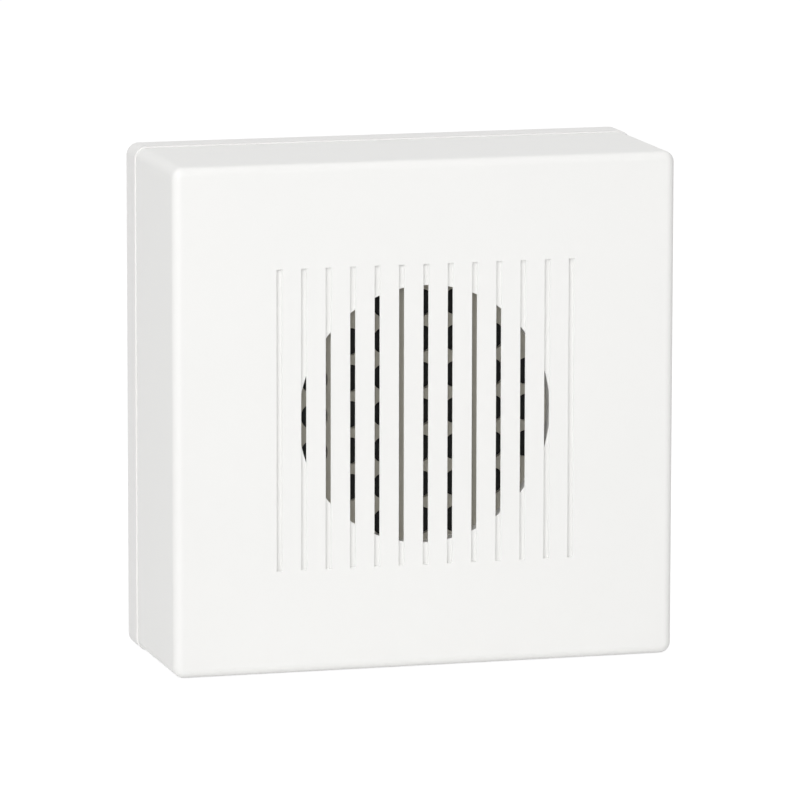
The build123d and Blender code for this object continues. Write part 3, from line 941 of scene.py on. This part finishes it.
@dataclass
class ReturnSpring:
    """The compression spring round the plunger, one round wire between the yoke and the clip."""

    wire_radius: float = 0.25 * MM
    turns: int = 5
    steps_a_turn: int = 40
    sides: int = 14

    def points(self) -> np.ndarray:
        """The wire's surface.

        The path is a helix round the plunger's axis: the place along it grows with the turn, and the
        place across is the coil's radius times the turn's cosine and sine.

        Returns:
            A grid of places, rows by sides by 3.
        """
        low, high = (np.array(corner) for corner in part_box("return_spring"))
        centre = (low + high) / 2
        radius = (high[1] - low[1]) / 2 - self.wire_radius
        start, end = low[0] + self.wire_radius, high[0] - self.wire_radius
        turn = np.linspace(0, FULL_TURN * self.turns, self.turns * self.steps_a_turn + 1)
        slope = (end - start) / turn[-1]
        flat = np.zeros_like(turn)
        outward = np.stack([flat, np.cos(turn), np.sin(turn)], axis=-1)
        way = unit(np.stack([flat + slope, -radius * np.sin(turn), radius * np.cos(turn)], axis=-1))
        axis = np.stack([start + slope * turn, flat + centre[1], flat + centre[2]], axis=-1)
        return tube(axis + radius * outward, outward, np.cross(way, outward), self.wire_radius, self.sides)

    def build(self) -> bpy.types.Object:
        """Make the spring between the yoke and the clip, in place of its plain solid.

        Returns:
            The spring.
        """
        made = Surface("return_spring_wire", self.points()).build()
        made.data.materials.append(SPRING_STEEL.material())
        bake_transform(made)
        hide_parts("return_spring")
        report(made)
        return made


@dataclass
class Leads:
    """The two insulated leads from the bobbin's lugs into the terminal block."""

    radius: float = 0.7 * MM
    straight_drop: float = 6.5 * MM
    straight_entry: float = 8.0 * MM
    steps: int = 48
    sides: int = 20
    smooth_degrees: float = 60.0

    def pole(self, side: Side) -> float:
        """The place in X of the terminal screw on one side."""
        low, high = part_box("terminal_screws")
        return side.value * (high.x - (high.z - low.z) / 2)

    def points(self, side: Side) -> np.ndarray:
        """One lead's surface.

        The path is the cubic curve of four points: the lug, a point straight below it, a point straight
        above the block and the end inside the block. It lies in one upright plane.

        Args:
            side: The side that the lead is on.

        Returns:
            A grid of places, rows by sides by 3.
        """
        low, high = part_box("coil_leads")
        lug = np.array([side.value * (high.x - self.radius), low.y + self.radius, high.z])
        end = np.array([self.pole(side), high.y - self.radius, low.z])
        below = lug - np.array([0, 0, self.straight_drop])
        above = end + np.array([0, 0, self.straight_entry])
        share = np.linspace(0, 1, self.steps)[:, None]
        rest = 1 - share
        path = rest**3 * lug + 3 * rest**2 * share * below + 3 * rest * share**2 * above + share**3 * end
        runs = (below - lug, above - below, end - above)
        way = unit(3 * rest**2 * runs[0] + 6 * rest * share * runs[1] + 3 * share**2 * runs[2])
        across = unit(np.cross(np.array([0, 0, 1.0]), end - lug))
        first = np.broadcast_to(across, path.shape)
        return tube(path, first, np.cross(way, first), self.radius, self.sides)

    def build(self) -> None:
        """Make both leads, in place of their plain tubes."""
        for side in Side:
            lead = Surface(f"lead_{side.name.lower()}", self.points(side)).build(self.smooth_degrees)
            settle(lead, RED_SHEATH, "base", "lead_sheath", "coil_leads")


class SubAssembly:
    """Pieces that belong together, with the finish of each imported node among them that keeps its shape."""

    finishes: ClassVar[dict[str, Finish]] = {}

    def build(self) -> None:
        """Give the nodes their finishes."""
        for node, finish in self.finishes.items():
            paint(node, finish)


@dataclass
class Case(SubAssembly):
    """The moulded case: base, cover, the guard behind its grooves and the cable bush."""

    finishes: ClassVar[dict[str, Finish]] = {
        "base": WHITE_BASE,
        "cover": WHITE_COVER,
        "guard_plate": GREY_GUARD,
        "guard_screws": SCREW_STEEL,
        "dust_cloth": BLACK_CLOTH,
        "cable_grommet": BLACK_RUBBER,
    }


@dataclass
class Solenoid(SubAssembly):
    """The coil, its steel yoke, the guide tube and the plunger with its strikers."""

    winding: Winding
    spring: ReturnSpring

    finishes: ClassVar[dict[str, Finish]] = {
        "coil_yoke": YOKE_STEEL,
        "yoke_screws": SCREW_STEEL,
        "coil_bobbin": BLACK_BOBBIN,
        "coil_sleeve": BRASS,
        "plunger_core": PLUNGER_STEEL,
        "plunger_clip": SPRING_STEEL,
        "striker_left": NYLON_STRIKER,
        "striker_right": NYLON_STRIKER,
    }

    def build(self) -> None:
        """Build the wound pieces and give the rest their finishes."""
        self.winding.build()
        self.spring.build()
        super().build()


@dataclass
class ToneBars(SubAssembly):
    """The two sounding bars, their rubber grommets and the pins that they hang on."""

    finishes: ClassVar[dict[str, Finish]] = {
        "tone_bar_high": BAR_STEEL,
        "tone_bar_low": BAR_STEEL,
        "bar_grommets": BLACK_RUBBER,
        "bar_pins": SCREW_STEEL,
    }


@dataclass
class Terminals(SubAssembly):
    """The terminal block, its brass cages and screws, and the leads that run into it."""

    leads: Leads

    finishes: ClassVar[dict[str, Finish]] = {
        "terminal_block": IVORY_BLOCK,
        "terminal_block_screw": SCREW_STEEL,
        "terminal_cages": BRASS,
        "terminal_screws": BRASS,
    }

    def build(self) -> None:
        """Build the leads and give the block its finishes."""
        self.leads.build()
        super().build()


@dataclass(frozen=True)
class PhotoCamera:
    """The photograph's camera, fitted to the box's edges: a long lens, a little to the left and above."""

    yaw_degrees: float = 15.3859
    pitch_degrees: float = 9.4580
    roll_degrees: float = 0.0993
    centre_right: float = 5.0314 * MM
    centre_ahead: float = 1366.503 * MM
    centre_up: float = -2.8275 * MM
    focal_pixels: float = 7131.64
    image_pixels: float = 800.0
    sensor_mm: float = 36.0
    nearest: float = 0.05
    farthest: float = 50.0

    def rows(self) -> np.ndarray:
        """The product of a roll about Y, a tilt about X and a turn about Z, as matrices.

        Returns:
            The camera's right, forward and up directions, one a row.
        """
        degrees = (self.yaw_degrees, self.pitch_degrees, self.roll_degrees)
        angles = (math.radians(angle) for angle in degrees)
        (cy, sy), (cp, sp), (cr, sr) = ((math.cos(angle), math.sin(angle)) for angle in angles)
        turn = np.array([[cy, -sy, 0], [sy, cy, 0], [0, 0, 1]])
        tilt = np.array([[1, 0, 0], [0, cp, -sp], [0, sp, cp]])
        roll = np.array([[cr, 0, sr], [0, 1, 0], [-sr, 0, cr]])
        return roll @ tilt @ turn

    def build(self, front_centre: Vector) -> bpy.types.Object:
        """Place the camera.

        Args:
            front_centre: The middle of the box's front face.

        Returns:
            The camera object.
        """
        right, ahead, up = self.rows()
        centre = np.array([self.centre_right, self.centre_ahead, self.centre_up])
        place = np.array(front_centre) - self.rows().T @ centre
        data = bpy.data.cameras.new("photo_camera")
        data.sensor_width = self.sensor_mm
        data.lens = self.focal_pixels * self.sensor_mm / self.image_pixels
        data.clip_start, data.clip_end = self.nearest, self.farthest
        made = bpy.data.objects.new("photo_camera", data)
        columns = np.eye(4)
        columns[:3, :4] = np.stack([right, up, -ahead, place], axis=-1)
        made.matrix_world = Matrix(columns.tolist())
        bpy.context.scene.collection.objects.link(made)
        bpy.context.scene.camera = made
        return made


@dataclass(frozen=True)
class SoftLamp:
    """A large square lamp that looks at the box."""

    name: str
    direction: tuple[float, float, float]
    distance: float
    width: float
    watts: float

    def build(self, target: Vector) -> bpy.types.Object:
        """Place the lamp.

        Args:
            target: The point that it looks at.

        Returns:
            The lamp object.
        """
        data = bpy.data.lights.new(self.name, "AREA")
        data.shape, data.size, data.energy = "SQUARE", self.width, self.watts
        made = bpy.data.objects.new(self.name, data)
        away = Vector(self.direction).normalized()
        turn = away.to_track_quat("Z", "Y").to_matrix().to_4x4()
        made.matrix_world = Matrix.Translation(target + away * self.distance) @ turn
        bpy.context.scene.collection.objects.link(made)
        return made


@dataclass(frozen=True)
class Studio:
    """A pale floor under a white surround, with soft light from the front left and from above."""

    ambient: float = 0.335
    left_rise: float = 0.07
    top_rise: float = 0.32
    floor_half: float = 4.0
    floor_colour: Colour = (0.86, 0.86, 0.86)
    floor_glow: float = 1.18
    glow_share: float = 0.78
    lamps: tuple[SoftLamp, ...] = (
        SoftLamp("key_lamp", (-0.366, -0.762, 0.25), 1.6, 0.9, 13.0),
        SoftLamp("top_lamp", (0.0, 0.0, 1.0), 1.6, 0.9, 4.2),
    )

    def seen(self, graph: Graph) -> Socket:
        """Sort the rays.

        Args:
            graph: The graph of the world or of the floor's material.

        Returns:
            One for rays from the camera, from a mirror-like surface or through a clear one, else zero.
        """
        path = graph.add("ShaderNodeLightPath").outputs
        glossy = graph.maths("MAXIMUM", path["Is Glossy Ray"], path["Is Transmission Ray"])
        return graph.maths("MAXIMUM", path["Is Camera Ray"], glossy)

    def world(self) -> None:
        """A surround that is white where it is seen, and dimmer where it lights.

        Its light grows evenly from right to left and from below to above.
        """
        world = bpy.data.worlds.new("surround")
        graph = Graph.emptied(world)
        way = graph.parts(graph.add("ShaderNodeTexCoord").outputs["Generated"])
        side = graph.maths("MULTIPLY_ADD", way["X"], -self.left_rise, self.ambient)
        lit = graph.maths("MULTIPLY_ADD", way["Z"], self.top_rise, side)
        strength = graph.mix(MixOf.VALUES, self.seen(graph), lit, 1.0)
        background = graph.add("ShaderNodeBackground", {"Color": rgba(WHITE), "Strength": strength})
        graph.add("ShaderNodeOutputWorld", {"Surface": background.outputs[0]})
        bpy.context.scene.world = world

    def floor_material(self) -> bpy.types.Material:
        """A matt floor that also glows where it is seen, so that it reads as white.

        Returns:
            The material.
        """
        made = bpy.data.materials.new("pale_floor")
        graph = Graph.emptied(made)
        matt = graph.add("ShaderNodeBsdfDiffuse", {"Color": rgba(self.floor_colour)})
        glow = graph.add("ShaderNodeEmission", {"Color": rgba(WHITE), "Strength": self.floor_glow})
        share = graph.between(self.seen(graph), 0.0, self.glow_share)
        mix = graph.add("ShaderNodeMixShader", {0: share, 1: matt.outputs[0], 2: glow.outputs[0]})
        graph.add("ShaderNodeOutputMaterial", {"Surface": mix.outputs[0]})
        return made

    def floor(self, height: float) -> None:
        """The floor, one large square.

        Args:
            height: Where the box stands.
        """
        half = self.floor_half
        corners = [(x * half, y * half, height) for x, y in ((-1, -1), (1, -1), (1, 1), (-1, 1))]
        mesh = bpy.data.meshes.new("floor")
        mesh.from_pydata(corners, [], [(0, 1, 2, 3)])
        mesh.materials.append(self.floor_material())
        made = bpy.data.objects.new("floor", mesh)
        bpy.context.scene.collection.objects.link(made)
        made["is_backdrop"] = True

    def build(self, low: Vector, high: Vector) -> None:
        """Set up the surround, the floor, the lamps and the colour management.

        Args:
            low: The lowest corner of the box.
            high: Its highest corner.
        """
        bpy.context.scene.view_settings.view_transform = "Standard"
        self.world()
        self.floor(low.z)
        for lamp in self.lamps:
            lamp.build((low + high) / 2)


def main() -> None:
    """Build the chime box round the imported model."""
    logging.basicConfig(level=logging.INFO, format="%(name)s: %(message)s")
    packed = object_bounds()
    Case().build()
    Solenoid(winding=Winding(), spring=ReturnSpring()).build()
    ToneBars().build()
    Terminals(leads=Leads()).build()
    low, high = packed
    Studio().build(low, high)
    PhotoCamera().build(Vector(((low.x + high.x) / 2, low.y, (low.z + high.z) / 2)))


if __name__ == "__main__":
    main()
